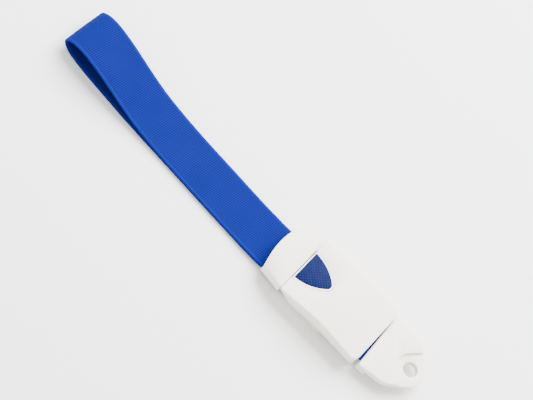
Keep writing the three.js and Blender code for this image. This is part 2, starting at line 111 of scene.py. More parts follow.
class TourniquetClasp(bpy.types.PropertyGroup):
    """Sizes of the moulded clasp, in millimetres"""

    height: FloatProperty(name="Height", description="Top face at the seam", default=12.3)
    crown: FloatProperty(name="Crown", description="Rise of the top face at mid length", default=2.1)
    waist: FloatProperty(name="Waist", description="Share by which the sides pull in", default=0.016)
    nose_length: FloatProperty(name="Nose", description="Length over which the sides tuck in", default=8.0)
    nose_tuck: FloatProperty(name="Tuck", description="Share by which the nose tucks in", default=0.22)
    wall: FloatProperty(name="Wall", description="Moulded wall thickness", default=1.6)
    gap: FloatProperty(name="Gap", description="Gap between touching pieces", default=0.3)
    edge: FloatProperty(name="Edge", description="Rounding of the long top edges", default=1.3)
    parting: FloatProperty(name="Parting", description="Height of the cover's lower edge", default=3.2)
    parting_step: FloatProperty(name="Step", description="How much higher it is at the tab", default=2.4)
    step_at: FloatProperty(name="Step place", description="Where the deep half ends", default=25.5)
    button_depth: FloatProperty(name="Button depth", description="Depth of the button's slab", default=3.6)
    button_travel: FloatProperty(name="Travel", description="Room under the button's edge", default=1.5)
    collar_radius: FloatProperty(name="Mouth radius", description="Curve of the collar's mouth", default=45.0)
    collar_taper: FloatProperty(name="Taper", description="Share by which the collar narrows", default=0.11)


class TourniquetTab(bpy.types.PropertyGroup):
    """Sizes of the pull tab, in millimetres and degrees"""

    half: FloatProperty(name="Half width", description="Half the tab's width", default=16.9)
    length: FloatProperty(name="Length", description="From its front to its round end", default=28.9)
    end: FloatProperty(name="End", description="Radius of the round end", default=10.9)
    lean: FloatProperty(name="Lean", description="How far the near corner stands forward", default=0.6)
    turn: FloatProperty(name="Turn", description="Turn of the tab, degrees", default=4.2)
    sideways: FloatProperty(name="Sideways", description="Shift of the tab across", default=0.7)
    hole_at: FloatProperty(name="Hole place", description="Hole from the front", default=21.2)
    hole: FloatProperty(name="Hole", description="Radius of the hole", default=3.85)
    land: FloatProperty(name="Land", description="Radius of the lowered land", default=7.8)
    land_depth: FloatProperty(name="Land depth", description="How much lower the land is", default=1.4)


class TourniquetStrap(bpy.types.PropertyGroup):
    """Sizes of the webbing, in millimetres"""

    drift: FloatProperty(name="Drift", description="Sideways drift of the loop per millimetre", default=0.055)
    sweep: FloatProperty(name="Sweep", description="Extra sideways bend of the fold", default=0.0007)
    fold_skew: FloatProperty(name="Skew", description="How much further the near edge folds", default=0.09)
    step: FloatProperty(name="Step", description="Length of one row of faces", default=0.9)
    rib: FloatProperty(name="Rib", description="Spacing of the ribs", default=1.0)
    lean: FloatProperty(name="Slant", description="Slant of the ribs, along per across", default=0.14)
    selvedge: FloatProperty(name="Selvedge", description="Width of the plain edge", default=1.5)


class TourniquetGrip(bpy.types.PropertyGroup):
    """The raised grip dots of the button's inlay, in millimetres"""

    pitch: FloatProperty(name="Pitch", description="Distance between dots in a row", default=1.75)
    row: FloatProperty(name="Row", description="Distance between rows", default=0.95)
    length: FloatProperty(name="Length", description="Length of a dot", default=0.9)
    width: FloatProperty(name="Width", description="Width of a dot", default=0.48)
    height: FloatProperty(name="Height", description="Height of a dot", default=0.2)


class TourniquetColours(bpy.types.PropertyGroup):
    """Colours of the finishes"""

    white: FloatVectorProperty(
        name="White", description="Moulded plastic", subtype="COLOR", default=(0.9, 0.865, 0.785)
    )
    navy: FloatVectorProperty(
        name="Navy", description="Grip inlay", subtype="COLOR", default=(0.0025, 0.006, 0.05)
    )
    # Painted highlight: the grip dots get a lighter navy than the inlay, standing for light on their raised
    # tops.
    grip: FloatVectorProperty(
        name="Grip", description="Tops of the grip dots", subtype="COLOR", default=(0.012, 0.024, 0.115)
    )
    webbing: FloatVectorProperty(
        name="Webbing", description="Elastic webbing", subtype="COLOR", default=(0.004, 0.0105, 0.165)
    )
    webbing_dark: FloatVectorProperty(
        name="Webbing shade", description="Between the ribs", subtype="COLOR", default=(0.001, 0.003, 0.05)
    )
    thread: FloatVectorProperty(
        name="Thread", description="Sewing thread", subtype="COLOR", default=(0.01, 0.04, 0.3)
    )
    steel: FloatVectorProperty(
        name="Steel", description="Springs and pins", subtype="COLOR", default=(0.62, 0.63, 0.65)
    )
    floor: FloatVectorProperty(
        name="Floor", description="The pale floor", subtype="COLOR", default=(0.95, 0.95, 0.95)
    )


class TourniquetStage(bpy.types.PropertyGroup):
    """The camera and the studio light"""

    elevation: FloatProperty(name="Elevation", description="Camera above the horizon, degrees", default=62.0)
    roll: FloatProperty(name="Roll", description="Turn of the clasp in the view, degrees", default=44.8)
    distance: FloatProperty(name="Distance", description="Camera from the object, metres", default=1.2)
    lens: FloatProperty(name="Lens", description="Focal length, millimetres", default=167.0)
    aim_x: FloatProperty(name="Aim along", description="Aim from the middle of the object", default=0.0051)
    aim_y: FloatProperty(name="Aim across", description="Aim from the middle of the object", default=0.0120)
    key: FloatProperty(name="Key", description="Power of the main light, watts", default=52.0)
    fill: FloatProperty(name="Fill", description="Power of the fill light, watts", default=4.0)
    sky: FloatProperty(name="Sky", description="Strength of the surrounding light", default=1.3)


# Small modelling helpers, in millimetres


def clamp(value, low=0.0, high=1.0):
    return max(low, min(high, value))


def smooth(value, low, high):
    t = clamp((value - low) / (high - low))
    return t * t * (3 - 2 * t)


def both_sides(half):
    """A closed outline from the half of it that has a positive first coordinate."""
    return half + [(-a, b) for a, b in reversed(half)]


def arc(centre, radius, start, end, parts):
    """Points of an arc between two angles in degrees."""
    turns = [math.radians(start + (end - start) * i / parts) for i in range(parts + 1)]
    return [(centre[0] + radius * math.cos(t), centre[1] + radius * math.sin(t)) for t in turns]


def bezier(a, b, c, d, parts):
    """Points of a cubic curve, without its first one."""
    points = []
    for i in range(1, parts + 1):
        t = i / parts
        weights = ((1 - t) ** 3, 3 * t * (1 - t) ** 2, 3 * t * t * (1 - t), t**3)
        points.append(tuple(sum(w * p[k] for w, p in zip(weights, (a, b, c, d))) for k in (0, 1)))
    return points


def outline_face(form, outline, lift):
    """One face from a closed outline; lift turns its pairs into points."""
    return form.faces.new([form.verts.new(lift(pair)) for pair in outline])


def round_corners(form, is_corner, radius, segments):
    """Rounds the corners of a flat outline that pass a test."""
    verts = [v for v in form.verts if is_corner(v.co)]
    bmesh.ops.bevel(
        form, geom=verts, offset=radius, segments=segments, profile=0.5, affect="VERTICES", material=-1
    )


def pull(form, face, move):
    """Extrudes a face by a vector and gives the new face."""
    grown = bmesh.ops.extrude_face_region(form, geom=[face])["geom"]
    bmesh.ops.translate(form, verts=[v for v in grown if isinstance(v, bmesh.types.BMVert)], vec=move)
    return next(f for f in grown if isinstance(f, bmesh.types.BMFace))


def pull_along(form, steps):
    """Extrudes a form's only face along X in steps, leaving both ends closed."""
    face = form.faces[:][0]
    for count, step in enumerate(steps):
        last = face
        face = pull(form, last, Vector((step, 0, 0)))
        if count:
            bmesh.ops.delete(form, geom=[last], context="FACES_ONLY")


def prism(outline, axis, low, high):
    """A bmesh bar with that outline, along an axis from low to high."""
    lifts = {
        "X": lambda p: (low, p[0], p[1]),
        "Y": lambda p: (p[0], low, p[1]),
        "Z": lambda p: (p[0], p[1], low),
    }
    form = bmesh.new()
    face = outline_face(form, outline, lifts[axis])
    step = Vector([high - low if axis == name else 0 for name in "XYZ"])
    pull(form, face, step)
    bmesh.ops.recalc_face_normals(form, faces=form.faces)
    return form


def cuboid(x0, x1, y0, y1, z0, z1):
    return prism([(x0, y0), (x1, y0), (x1, y1), (x0, y1)], "Z", z0, z1)


def cylinder(centre, radius, axis, low, high, sides):
    return prism(arc(centre, radius, 0, 360 * (sides - 1) / sides, sides - 1), axis, low, high)


def loft(section, rows, place, corners):
    """A bar of even section with rows of points along X; place gives each point its final place."""
    form = bmesh.new()
    outline_face(form, section, lambda p: (rows[0], p[0], p[1]))
    for test, radius, segments in corners:
        round_corners(form, test, radius, segments)
    pull_along(form, [after - before for before, after in zip(rows, rows[1:])])
    for v in form.verts:
        v.co = Vector(place(v.co.x, v.co.y, v.co.z))
    bmesh.ops.recalc_face_normals(form, faces=form.faces)
    return form


def new_object(name, form):
    """A bmesh in millimetres becomes an object in metres, in place."""
    mesh = bpy.data.meshes.new(name)
    form.to_mesh(mesh)
    form.free()
    mesh.transform(Matrix.Scale(MM, 4))
    made = bpy.data.objects.new(name, mesh)
    bpy.context.scene.collection.objects.link(made)
    return made


def apply_modifiers(made):
    """Replaces the object's mesh by what its modifiers make of it."""
    bpy.context.view_layer.update()
    finished = bpy.data.meshes.new_from_object(
        made.evaluated_get(bpy.context.evaluated_depsgraph_get())
    )
    made.modifiers.clear()
    old = made.data
    made.data = finished
    bpy.data.meshes.remove(old)
    finished.name = made.name


def carve(made, forms, operation="DIFFERENCE"):
    """Cuts each bmesh from the object, or joins it on."""
    for form in forms:
        tool = new_object("tool", form)
        step = made.modifiers.new("carve", "BOOLEAN")
        step.operation = operation
        step.solver = "EXACT"
        step.object = tool
        apply_modifiers(made)
        bpy.data.objects.remove(tool)


def tidy_mesh(made):
    """Merges doubles and dissolves the flat joins that cutting leaves."""
    form = bmesh.new()
    form.from_mesh(made.data)
    bmesh.ops.remove_doubles(form, verts=form.verts, dist=SAME_POINT)
    bmesh.ops.dissolve_limit(form, angle_limit=FLAT_JOIN, verts=form.verts, edges=form.edges)
    form.to_mesh(made.data)
    form.free()


def soften(made, width, angle):
    """Rounds edges sharper than an angle if there is a width, closes slivers and shades smooth."""
    if width > 0:
        round_off = made.modifiers.new("edges", "BEVEL")
        round_off.width = width * MM
        round_off.segments = 2
        round_off.limit_method = "ANGLE"
        round_off.angle_limit = math.radians(angle)
        round_off.use_clamp_overlap = True
        apply_modifiers(made)
    form = bmesh.new()
    form.from_mesh(made.data)
    gaps = {v for e in form.edges if e.is_boundary for v in e.verts}
    bmesh.ops.remove_doubles(form, verts=list(gaps), dist=SAME_EDGE_POINT)
    bmesh.ops.delete(form, geom=[e for e in form.edges if e.is_wire], context="EDGES")
    form.to_mesh(made.data)
    form.free()
    made.data.shade_smooth()
    made.data.set_sharp_from_angle(angle=SHARP)


def finish_piece(made, body, slot, material, *nodes):
    """Gives a piece its material and its body and hides the CAD nodes that it stands for; the slot is not
    used.
    """
    made.data.materials.clear()
    made.data.materials.append(material)
    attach(made, body)
    if nodes:
        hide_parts(*nodes)
    return made


def softened_node(name, node, width):
    """A copy of a CAD node with its flats merged and, if there is a width, its edges rounded."""
    made = frame["nodes"][node].copy()
    made.data = made.data.copy()
    made.name = name
    for key in list(made.keys()):
        del made[key]
    made.parent = None
    bpy.context.scene.collection.objects.link(made)
    tidy_mesh(made)
    soften(made, width, 24)
    return made


# Shader graphs


class Wire:
    """A shader value that can be written in sums: each operator adds its Math node."""

    def __init__(self, graph, socket):
        self.graph = graph
        self.socket = socket

    def _math(self, operation, *values):
        return self.graph.add("ShaderNodeMath", {"operation": operation}, dict(enumerate(values)))

    def __add__(self, other):
        return self._math("ADD", self, other)

    def __radd__(self, other):
        return self._math("ADD", other, self)

    def __sub__(self, other):
        return self._math("SUBTRACT", self, other)

    def __rsub__(self, other):
        return self._math("SUBTRACT", other, self)

    def __mul__(self, other):
        return self._math("MULTIPLY", self, other)

    def __rmul__(self, other):
        return self._math("MULTIPLY", other, self)

    def __truediv__(self, other):
        return self._math("DIVIDE", self, other)

    def __rtruediv__(self, other):
        return self._math("DIVIDE", other, self)

    def __abs__(self):
        return self._math("ABSOLUTE", self)

    def sin(self):
        return self._math("SINE", self)

    def blend(self, low, high):
        """Smoothly from 0 at low to 1 at high."""
        settings = {"interpolation_type": "SMOOTHSTEP"}
        return self.graph.add("ShaderNodeMapRange", settings, {0: self, 1: low, 2: high})


class Graph:
    """A material's node tree, with one method that adds nodes."""

    def __init__(self, name):
        self.material = bpy.data.materials.new(name)
        self.material.use_nodes = True
        self.tree = self.material.node_tree
        self.shader = self.tree.nodes["Principled BSDF"]

    def add(self, kind, settings=None, values=None, output=0):
        """Adds a node, with its settings and the values or wires of its inputs, and gives one output."""
        node = self.tree.nodes.new(kind)
        for key, value in (settings or {}).items():
            setattr(node, key, value)
        for key, value in (values or {}).items():
            self.feed(node.inputs[key], value)
        return Wire(self, node.outputs[output])

    def feed(self, socket, value):
        if isinstance(value, Wire):
            self.tree.links.new(value.socket, socket)
        else:
            socket.default_value = value

    def shade(self, **values):
        """Sets the shader's sockets; an underscore stands for a space."""
        for key, value in values.items():
            self.feed(self.shader.inputs[key.replace("_", " ")], value)
        return self.material

    def place(self):
        return self.add("ShaderNodeTexCoord", output="Object")

    def uv(self):
        return self.add("ShaderNodeTexCoord", output="UV")

    def part(self, vector, axis):
        return self.add("ShaderNodeSeparateXYZ", {}, {0: vector}, output=axis)

    def noise(self, vector, scale, detail=2.0):
        values = {"Vector": vector, "Scale": scale, "Detail": detail}
        return self.add("ShaderNodeTexNoise", {}, values)

    def mix(self, share, low, high):
        """A colour between two; the inputs and the output are the Mix node's colour sockets."""
        values = {0: share, 6: low, 7: high}
        return self.add("ShaderNodeMix", {"data_type": "RGBA"}, values, output=2)

    def bump(self, height, distance, strength=1.0):
        values = {"Height": height, "Distance": distance, "Strength": strength}
        return self.add("ShaderNodeBump", {}, values, output="Normal")


def rgba(colour, gain=1.0):
    return (colour[0] * gain, colour[1] * gain, colour[2] * gain, 1.0)


def moulded_white():
    """Warm white satin plastic with a faint moulding grain, flow mottling and handling marks."""
    colours = bpy.context.scene.tourniquet_colours
    graph = Graph("moulded_white")
    place = graph.place()
    mottle = graph.noise(place, 60.0, 3.0)
    grain = graph.noise(place, 2600.0, 2.0)
    marks = graph.noise(place, 420.0, 4.0)
    colour = graph.mix(mottle.blend(0.3, 0.7), rgba(colours.white, 0.985), rgba(colours.white, 1.01))
    scuffed = graph.mix(marks.blend(0.66, 0.78) * 0.35, colour, rgba(colours.white, 0.95))
    return graph.shade(
        Base_Color=scuffed,
        Roughness=0.36 + 0.10 * grain + 0.08 * marks,
        Specular_IOR_Level=0.42,
        Subsurface_Weight=0.0,
        Normal=graph.bump(grain + marks * 0.6, 0.00001, 0.35),
    )


def grip_navy():
    """Navy plastic between the grip dots."""
    colours = bpy.context.scene.tourniquet_colours
    graph = Graph("grip_navy")
    place = graph.place()
    grain = graph.noise(place, 3000.0, 2.0)
    tone = graph.noise(place, 300.0, 2.0)
    colour = graph.mix(tone.blend(0.3, 0.7), rgba(colours.navy, 0.85), rgba(colours.navy, 1.2))
    return graph.shade(
        Base_Color=colour,
        Roughness=0.42 + 0.12 * grain,
        Specular_IOR_Level=0.04,
        Normal=graph.bump(grain, 0.00001, 0.4),
    )


def dots_painted_highlight():
    """The grip dots, polished, in a lighter navy than the inlay: a painted highlight for the light on their
    raised tops.
    """
    colours = bpy.context.scene.tourniquet_colours
    graph = Graph("dots_painted_highlight")
    place = graph.place()
    tone = graph.noise(place, 500.0, 2.0)
    # Painted highlight: the dots are a lighter navy than the inlay, for light on their raised tops.
    colour = graph.mix(tone.blend(0.3, 0.7), rgba(colours.grip, 0.75), rgba(colours.grip, 1.15))
    return graph.shade(Base_Color=colour, Roughness=0.34 + 0.15 * tone, Specular_IOR_Level=0.06)


def elastic_webbing():
    """The weave laid out along the strap's own length."""
    strap = bpy.context.scene.tourniquet_strap
    graph = Graph("elastic_webbing")
    flat = graph.uv()
    return weave_shader(graph, graph.part(flat, "X"), graph.part(flat, "Y"), strap.lean)


def straight_webbing():
    """The same weave laid out in place, so that it doesn't stretch when the tab is pulled."""
    strap = bpy.context.scene.tourniquet_strap
    graph = Graph("straight_webbing")
    place = graph.place()
    along = graph.part(place, "X") / MM
    return weave_shader(graph, graph.part(place, "Y") / MM + STRAP_WIDTH / 2, along, -strap.lean)


def weave_shader(graph, across, along, lean):
    """Woven elastic: fine slanting ribs, warp ends along and plain selvedges. Distances are in mm."""
    colours = bpy.context.scene.tourniquet_colours
    strap = bpy.context.scene.tourniquet_strap
    turn = 2 * math.pi
    wander = graph.noise(graph.place(), 400.0, 2.0) * 0.35
    slant = along + across * lean
    ribs = ((slant / strap.rib + wander) * turn).sin() * 0.5 + 0.5
    ends = (across * (turn / 0.62)).sin() * 0.5 + 0.5
    middle = abs(across - STRAP_WIDTH / 2)
    edge = middle.blend(STRAP_WIDTH / 2 - strap.selvedge, STRAP_WIDTH / 2 - strap.selvedge + 0.3)
    edge_ribs = ((along / (strap.rib * 0.5)) * turn).sin() * 0.5 + 0.5
    weave = (ribs * 0.72 + ends * 0.28) * (1 - edge) + (edge_ribs * 0.4 + 0.45) * edge
    cloudy = graph.noise(graph.place(), 90.0, 3.0)
    fuzz = graph.noise(graph.place(), 2400.0, 2.0)
    height = weave + fuzz * 0.35
    tone = weave.blend(0.1, 0.85) * 0.82 + cloudy * 0.18
    colour = graph.mix(tone, rgba(colours.webbing_dark), rgba(colours.webbing, 1.12))
    lit = graph.mix(edge * 0.22, colour, rgba(colours.webbing, 1.5))
    return graph.shade(
        Base_Color=lit,
        Roughness=0.72 + 0.16 * fuzz,
        Specular_IOR_Level=0.06,
        Normal=graph.bump(height, 0.00009, 0.8),
    )


def sewing_thread():
    """Twisted thread."""
    colours = bpy.context.scene.tourniquet_colours
    graph = Graph("sewing_thread")
    place = graph.place()
    strands = (graph.part(place, "X") * 9000.0 + graph.part(place, "Y") * 9000.0).sin() * 0.5 + 0.5
    colour = graph.mix(strands, rgba(colours.thread, 0.6), rgba(colours.thread, 1.4))
    return graph.shade(Base_Color=colour, Roughness=0.7, Normal=graph.bump(strands, 0.00004, 0.6))


def spring_steel():
    """Drawn bright steel with fine lengthwise lines."""
    colours = bpy.context.scene.tourniquet_colours
    graph = Graph("spring_steel")
    place = graph.place()
    stretched = graph.add(
        "ShaderNodeMapping", {}, {"Vector": place, "Scale": (6000.0, 400.0, 6000.0)}
    )
    lines = graph.noise(stretched, 1.0, 2.0)
    colour = graph.mix(lines, rgba(colours.steel, 0.8), rgba(colours.steel, 1.1))
    return graph.shade(
        Base_Color=colour,
        Metallic=1.0,
        Roughness=0.22 + 0.2 * lines,
        Normal=graph.bump(lines, 0.00001, 0.3),
    )


FINISHES = {
    "white": moulded_white,
    "navy": grip_navy,
    # grip: the dots' lighter navy, a painted highlight
    "grip": dots_painted_highlight,
    "webbing": elastic_webbing,
    "straight": straight_webbing,
    "thread": sewing_thread,
    "steel": spring_steel,
}
made_finishes = {}


def finish(name):
    if name not in made_finishes:
        made_finishes[name] = FINISHES[name]()
    return made_finishes[name]


# Forms that several pieces share


def stations(start, end, step):
    count = max(2, round((end - start) / step))
    return [start + (end - start) * i / count for i in range(count + 1)]


def housing_form(inset, start, end, edge=None):
    """The housing's outer form shrunk by an inset: drafted sides, waist, crown and round end corners."""
    clasp = bpy.context.scene.tourniquet_clasp
    length = HOUSING_LENGTH
    corner = 3.5
    full = COVER_HIGH.y
    edge = clasp.edge if edge is None else edge

    def place(s, y, z):
        wave = math.cos(2 * math.pi * s / length)
        depth = clamp(1 - z / clasp.height)
        nose = clamp(1 - s / clasp.nose_length)
        y *= (1 + clasp.waist * wave) * (1 - clasp.nose_tuck * nose * depth)
        over = s + inset - (length - corner)
        if over > 0:
            y *= (full - corner + math.sqrt(max(0.0, corner**2 - min(over, corner) ** 2))) / full
        rise = smooth(z, clasp.parting + clasp.parting_step, clasp.height - 3)
        return SEAM + s, y, z + rise * clasp.crown / 2 * (1 - wave)

    half = [
        (14.6 - inset, inset),
        (16.3 - inset, 2.6),
        (18.3 - inset - 0.05, 11.0 - inset),
        (18.45 - inset, clasp.height - inset),
    ]
    top = clasp.height - inset
    corners = [
        (lambda co: co.z > top - 0.01, edge, 5),
        (lambda co: co.z < inset + 0.01, 0.9, 3),
    ]
    straight = stations(start, min(end, length - corner), 1.6)
    round_end = []
    if end > length - corner:
        reach = end - (length - corner)
        round_end = [length - corner + reach * math.sin(math.radians(a)) for a in range(15, 91, 15)]
    return loft(both_sides(half), straight + round_end, place, corners)


def shield_outline(margin, flat_edge):
    """The button's shield in plan, grown by a margin, from its flat edge at the seam to its tip."""
    half = 8.8 + margin
    tip = 17.3 + margin
    shoulder = max(flat_edge + 0.1, 0.9)
    side = [(flat_edge, half), (shoulder, half)]
    side += bezier(
        (shoulder, half),
        (8, half - 0.5),
        (13.3 + margin, 5.1 + margin / 2),
        (tip - 0.8, 1.9 + margin / 3),
        12,
    )
    side += bezier((tip - 0.8, 1.9 + margin / 3), (tip - 0.3, 1.2), (tip, 0.6), (tip, 0), 4)
    points = [(SEAM + s, y) for s, y in side]
    return points + [(x, -y) for x, y in reversed(points[:-1])]


# Pieces of the housing


def housing_cover():
    clasp = bpy.context.scene.tourniquet_clasp
    length = HOUSING_LENGTH
    cover = new_object("cover_shell", housing_form(0, 0, length))
    low = clasp.parting
    high = low + clasp.parting_step
    start = SEAM - BEYOND
    end = SEAM + length + BEYOND
    step = SEAM + clasp.step_at
    under = [(start, low), (step, low), (step + clasp.parting_step, high)]
    under += [(end, high), (end, -2), (start, -2)]
    wall = clasp.wall
    window_floor = clasp.height - clasp.button_depth - clasp.button_travel
    tongue_slot = cuboid(start, SEAM + 2, -9, 9, 4.4, 8.2)
    strap_slot = cuboid(SEAM + length - 2, end, -13.3, 13.3, 4, 7.2)
    carve(
        cover,
        [
            prism(under, "Y", -WIDE_BEYOND, WIDE_BEYOND),
            housing_form(wall, wall, length - wall, 0.6),
            tongue_slot,
            strap_slot,
            prism(shield_outline(1.25, -1), "Z", window_floor, 20),
        ],
    )
    tidy_mesh(cover)
    soften(cover, 0.22, 34)
    return finish_piece(cover, "housing", "white_abs", finish("white"), "housing_cover")


def housing_base():
    base = softened_node("base_shell", "housing_base", 0.35)
    return finish_piece(base, "housing", "white_abs", finish("white"), "housing_base")


def inner_works():
    """The pin and the springs keep their frame shapes; the jaw gets rounded edges."""
    for node in ("rocker_pin", "latch_spring", "jaw_spring", "anchor_bar"):
        steel = frame["nodes"][node]
        steel.data.materials.clear()
        steel.data.materials.append(finish("steel"))
    jaw = softened_node("toothed_jaw", "clamp_jaw", 0.15)
    finish_piece(jaw, "jaw", "white_abs", finish("white"), "clamp_jaw")
    plug = softened_node("plug_tongue", "plug_body", 0.25)
    finish_piece(plug, "plug", "white_abs", finish("white"), "plug_body")
    thread = frame["nodes"]["strap_stitching"]
    thread.data.materials.clear()
    thread.data.materials.append(finish("thread"))


# The button


def button_frame():
    """The lever keeps its sharp edges: they are too close together to be rounded."""
    works = softened_node("button_lever", "button_frame", 0)
    return finish_piece(works, "button", "white_abs", finish("white"), "button_frame")


def button_inlay():
    navy = new_object("button_inlay_field", housing_form(-0.02, 0.2, HOUSING_LENGTH - 5))
    carve(navy, [housing_form(0.8, 0, HOUSING_LENGTH)])
    carve(navy, [prism(shield_outline(-0.06, 1.0), "Z", 6, 20)], "INTERSECT")
    tidy_mesh(navy)
    soften(navy, 0.08, 34)
    finish_piece(navy, "button", "blue_grip", finish("navy"), "button_inlay")
    grip_dots()
    return navy


def top_of_clasp(x):
    clasp = bpy.context.scene.tourniquet_clasp
    return clasp.height + clasp.crown / 2 * (1 - math.cos(2 * math.pi * (x - SEAM) / HOUSING_LENGTH))


def half_width_of_shield(x, outline):
    """Half the shield's width at a distance along it."""
    half = [p for p in outline if p[1] >= 0]
    for a, b in zip(half, half[1:]):
        if a[0] <= x <= b[0] and b[0] > a[0]:
            return a[1] + (b[1] - a[1]) * (x - a[0]) / (b[0] - a[0])
    return 0.0


def grip_dots():
    """Small oblong domes in staggered rows over the inlay, turned by an eighth of a turn."""
    grip = bpy.context.scene.tourniquet_grip
    outline = shield_outline(-0.3, 1.2)
    form = bmesh.new()
    rows = int(17 / grip.row)
    for row in range(rows):
        x = SEAM + 1.6 + row * grip.row
        reach = half_width_of_shield(x, outline) - 0.45
        shift = grip.pitch / 2 if row % 2 else 0.0
        for column in range(-8, 9):
            y = column * grip.pitch + shift
            if abs(y) > reach or half_width_of_shield(x + 0.5, outline) - 0.3 < abs(y):
                continue
            dome = bmesh.ops.create_uvsphere(form, u_segments=8, v_segments=5, radius=0.5)["verts"]
            shape = Matrix.Diagonal((grip.length, grip.width, grip.height * 2, 1))
            turned = Matrix.Rotation(math.radians(-45), 4, "Z") @ shape
            seat = Matrix.Translation((x, y, top_of_clasp(x) + 0.02))
            bmesh.ops.transform(form, matrix=seat @ turned, verts=dome)
    dots = new_object("button_grip_dots", form)
    dots.data.shade_smooth()
    # The dots' material is a painted highlight: a lighter navy for light on their raised tops.
    return finish_piece(dots, "button", "blue_grip", finish("grip"))


# The plug's collar


def collar_section():
    """Half of the collar's outer section from its foot to the middle of its top, as an open line."""
    clasp = bpy.context.scene.tourniquet_clasp
    top = clasp.height - 0.1
    half = 18.6
    turn = 1.7
    side = [(15.8, 2.5), (16.8, 5.5), (17.8, 8.5), (half - 0.05, top - turn)]
    crown = [(half - turn - i * 1.3, top) for i in range(1, 13)]
    return side + arc((half - turn, top - turn), turn, 12, 90, 6) + crown + [(0.0, top)]


def collar_hood():
    """An open-bottomed shell, extruded in steps, bowed at its mouth and given its wall."""
    clasp = bpy.context.scene.tourniquet_clasp
    length = SEAM - HOOD_LOW.x + 0.7
    half = collar_section()
    line = half + [(-y, z) for y, z in reversed(half[:-1])]
    form = bmesh.new()
    verts = [form.verts.new((-clasp.gap, y, z)) for y, z in line]
    edges = [form.edges.new(pair) for pair in zip(verts, verts[1:])]
    rows = stations(-clasp.gap, -length, 0.85)
    for a, b in zip(rows, rows[1:]):
        grown = bmesh.ops.extrude_edge_only(form, edges=edges)["geom"]
        moved = [v for v in grown if isinstance(v, bmesh.types.BMVert)]
        edges = [e for e in grown if isinstance(e, bmesh.types.BMEdge)]
        bmesh.ops.translate(form, verts=moved, vec=(b - a, 0, 0))
    for v in form.verts:
        v.co = collar_place(v.co)
    bmesh.ops.recalc_face_normals(form, faces=form.faces)
    if sum(f.normal.z for f in form.faces) < 0:
        bmesh.ops.reverse_faces(form, faces=form.faces)
    bmesh.ops.solidify(form, geom=form.faces[:], thickness=clasp.wall)
    for v in form.verts:
        v.co.x = min(v.co.x, SEAM - clasp.gap)
    bmesh.ops.recalc_face_normals(form, faces=form.faces)
    lip = {f for f in form.faces if f.normal.x < -0.75}
    rim = [e for e in form.edges if len(lip.intersection(e.link_faces)) == 1]
    bmesh.ops.bevel(
        form,
        geom=rim,
        offset=clasp.wall * 0.42,
        segments=4,
        profile=0.5,
        affect="EDGES",
        material=-1,
        clamp_overlap=True,
    )
    hood = new_object("collar_shell", form)
    soften(hood, 0.15, 60)
    return finish_piece(hood, "plug", "white_abs", finish("white"), "collar_hood")


def collar_place(point):
    """Narrows the collar towards its bowed mouth, where its shoulders also round off."""
    clasp = bpy.context.scene.tourniquet_clasp
    length = SEAM - HOOD_LOW.x
    share = -point.x / length
    upper = smooth(point.z, 5, 12)
    y = point.y * (1 - clasp.collar_taper * share - 0.035 * share * share * upper)
    out = abs(point.y)
    fall = (0.5 + 3.4 * (out / 18.6) ** 4) * share**2.2
    z = point.z + (0.3 * (1 - (out / 18) ** 2) - fall) * upper
    bow = share * y * y / (2 * clasp.collar_radius)
    return Vector((SEAM + point.x + bow, y, z))


# The strap


def catmull(points, parts):
    """A smooth line through the points."""
    line = []
    padded = [points[0]] + points + [points[-1]]
    for a, b, c, d in zip(padded, padded[1:], padded[2:], padded[3:]):
        for i in range(parts):
            t = i / parts
            line.append(
                tuple(
                    0.5
                    * (
                        2 * b[k]
                        + (c[k] - a[k]) * t
                        + (2 * a[k] - 5 * b[k] + 4 * c[k] - d[k]) * t * t
                        + (3 * b[k] - a[k] - 3 * c[k] + d[k]) * t**3
                    )
                    for k in (0, 1)
                )
            )
    return line + [points[-1]]


def evenly(line, step):
    """The line's points respaced at even steps."""
    runs = [0.0]
    for a, b in zip(line, line[1:]):
        runs.append(runs[-1] + math.dist(a, b))
    count = max(2, round(runs[-1] / step))
    spaced = []
    j = 0
    for i in range(count + 1):
        want = runs[-1] * i / count
        while j < len(runs) - 2 and runs[j + 1] < want:
            j += 1
        t = (want - runs[j]) / max(1e-9, runs[j + 1] - runs[j])
        spaced.append(tuple(line[j][k] + (line[j + 1][k] - line[j][k]) * t for k in (0, 1)))
    return spaced, runs[-1]


def webbing_section():
    """Half-round edges and a flat field, in millimetres across and through the strap."""
    half = STRAP_WIDTH / 2
    thick = STRAP_THICK / 2
    rim = arc((half - thick, 0), thick, -90, 90, 6)
    field = [(half - thick - (2 * half - 2 * thick) * i / 14, thick) for i in range(1, 14)]
    upper = rim + field
    lower = [(-y, -z) for y, z in upper]
    return upper + lower


def webbing(name, line, bend=None):
    """Lofts the webbing's section along a side-on line, with UVs in millimetres along and across."""
    strap = bpy.context.scene.tourniquet_strap
    spaced, length = evenly(line, strap.step)
    section = webbing_section()
    form = bmesh.new()
    outline_face(form, section, lambda p: (0, p[0], p[1]))
    step = length / (len(spaced) - 1)
    pull_along(form, [step] * (len(spaced) - 1))
    map_uvs(form)
    normals = []
    for i in range(len(spaced)):
        a = spaced[max(0, i - 1)]
        b = spaced[min(len(spaced) - 1, i + 1)]
        run = Vector((b[0] - a[0], b[1] - a[1])).normalized()
        normals.append((-run.y, run.x))
    for v in form.verts:
        i = min(len(spaced) - 1, round(v.co.x / step))
        ripple = 0.05 * math.sin(v.co.x / 7.0 + v.co.y / 5.0) * clamp(v.co.x / 30)
        through = v.co.z + ripple
        point = Vector(
            (
                SEAM + spaced[i][0] + normals[i][0] * through,
                v.co.y,
                spaced[i][1] + normals[i][1] * through,
            )
        )
        v.co = bend(point) if bend else point
    bmesh.ops.recalc_face_normals(form, faces=form.faces)
    if form.calc_volume(signed=True) < 0:
        bmesh.ops.reverse_faces(form, faces=form.faces)
    made = new_object(name, form)
    made.data.shade_smooth()
    return made, length


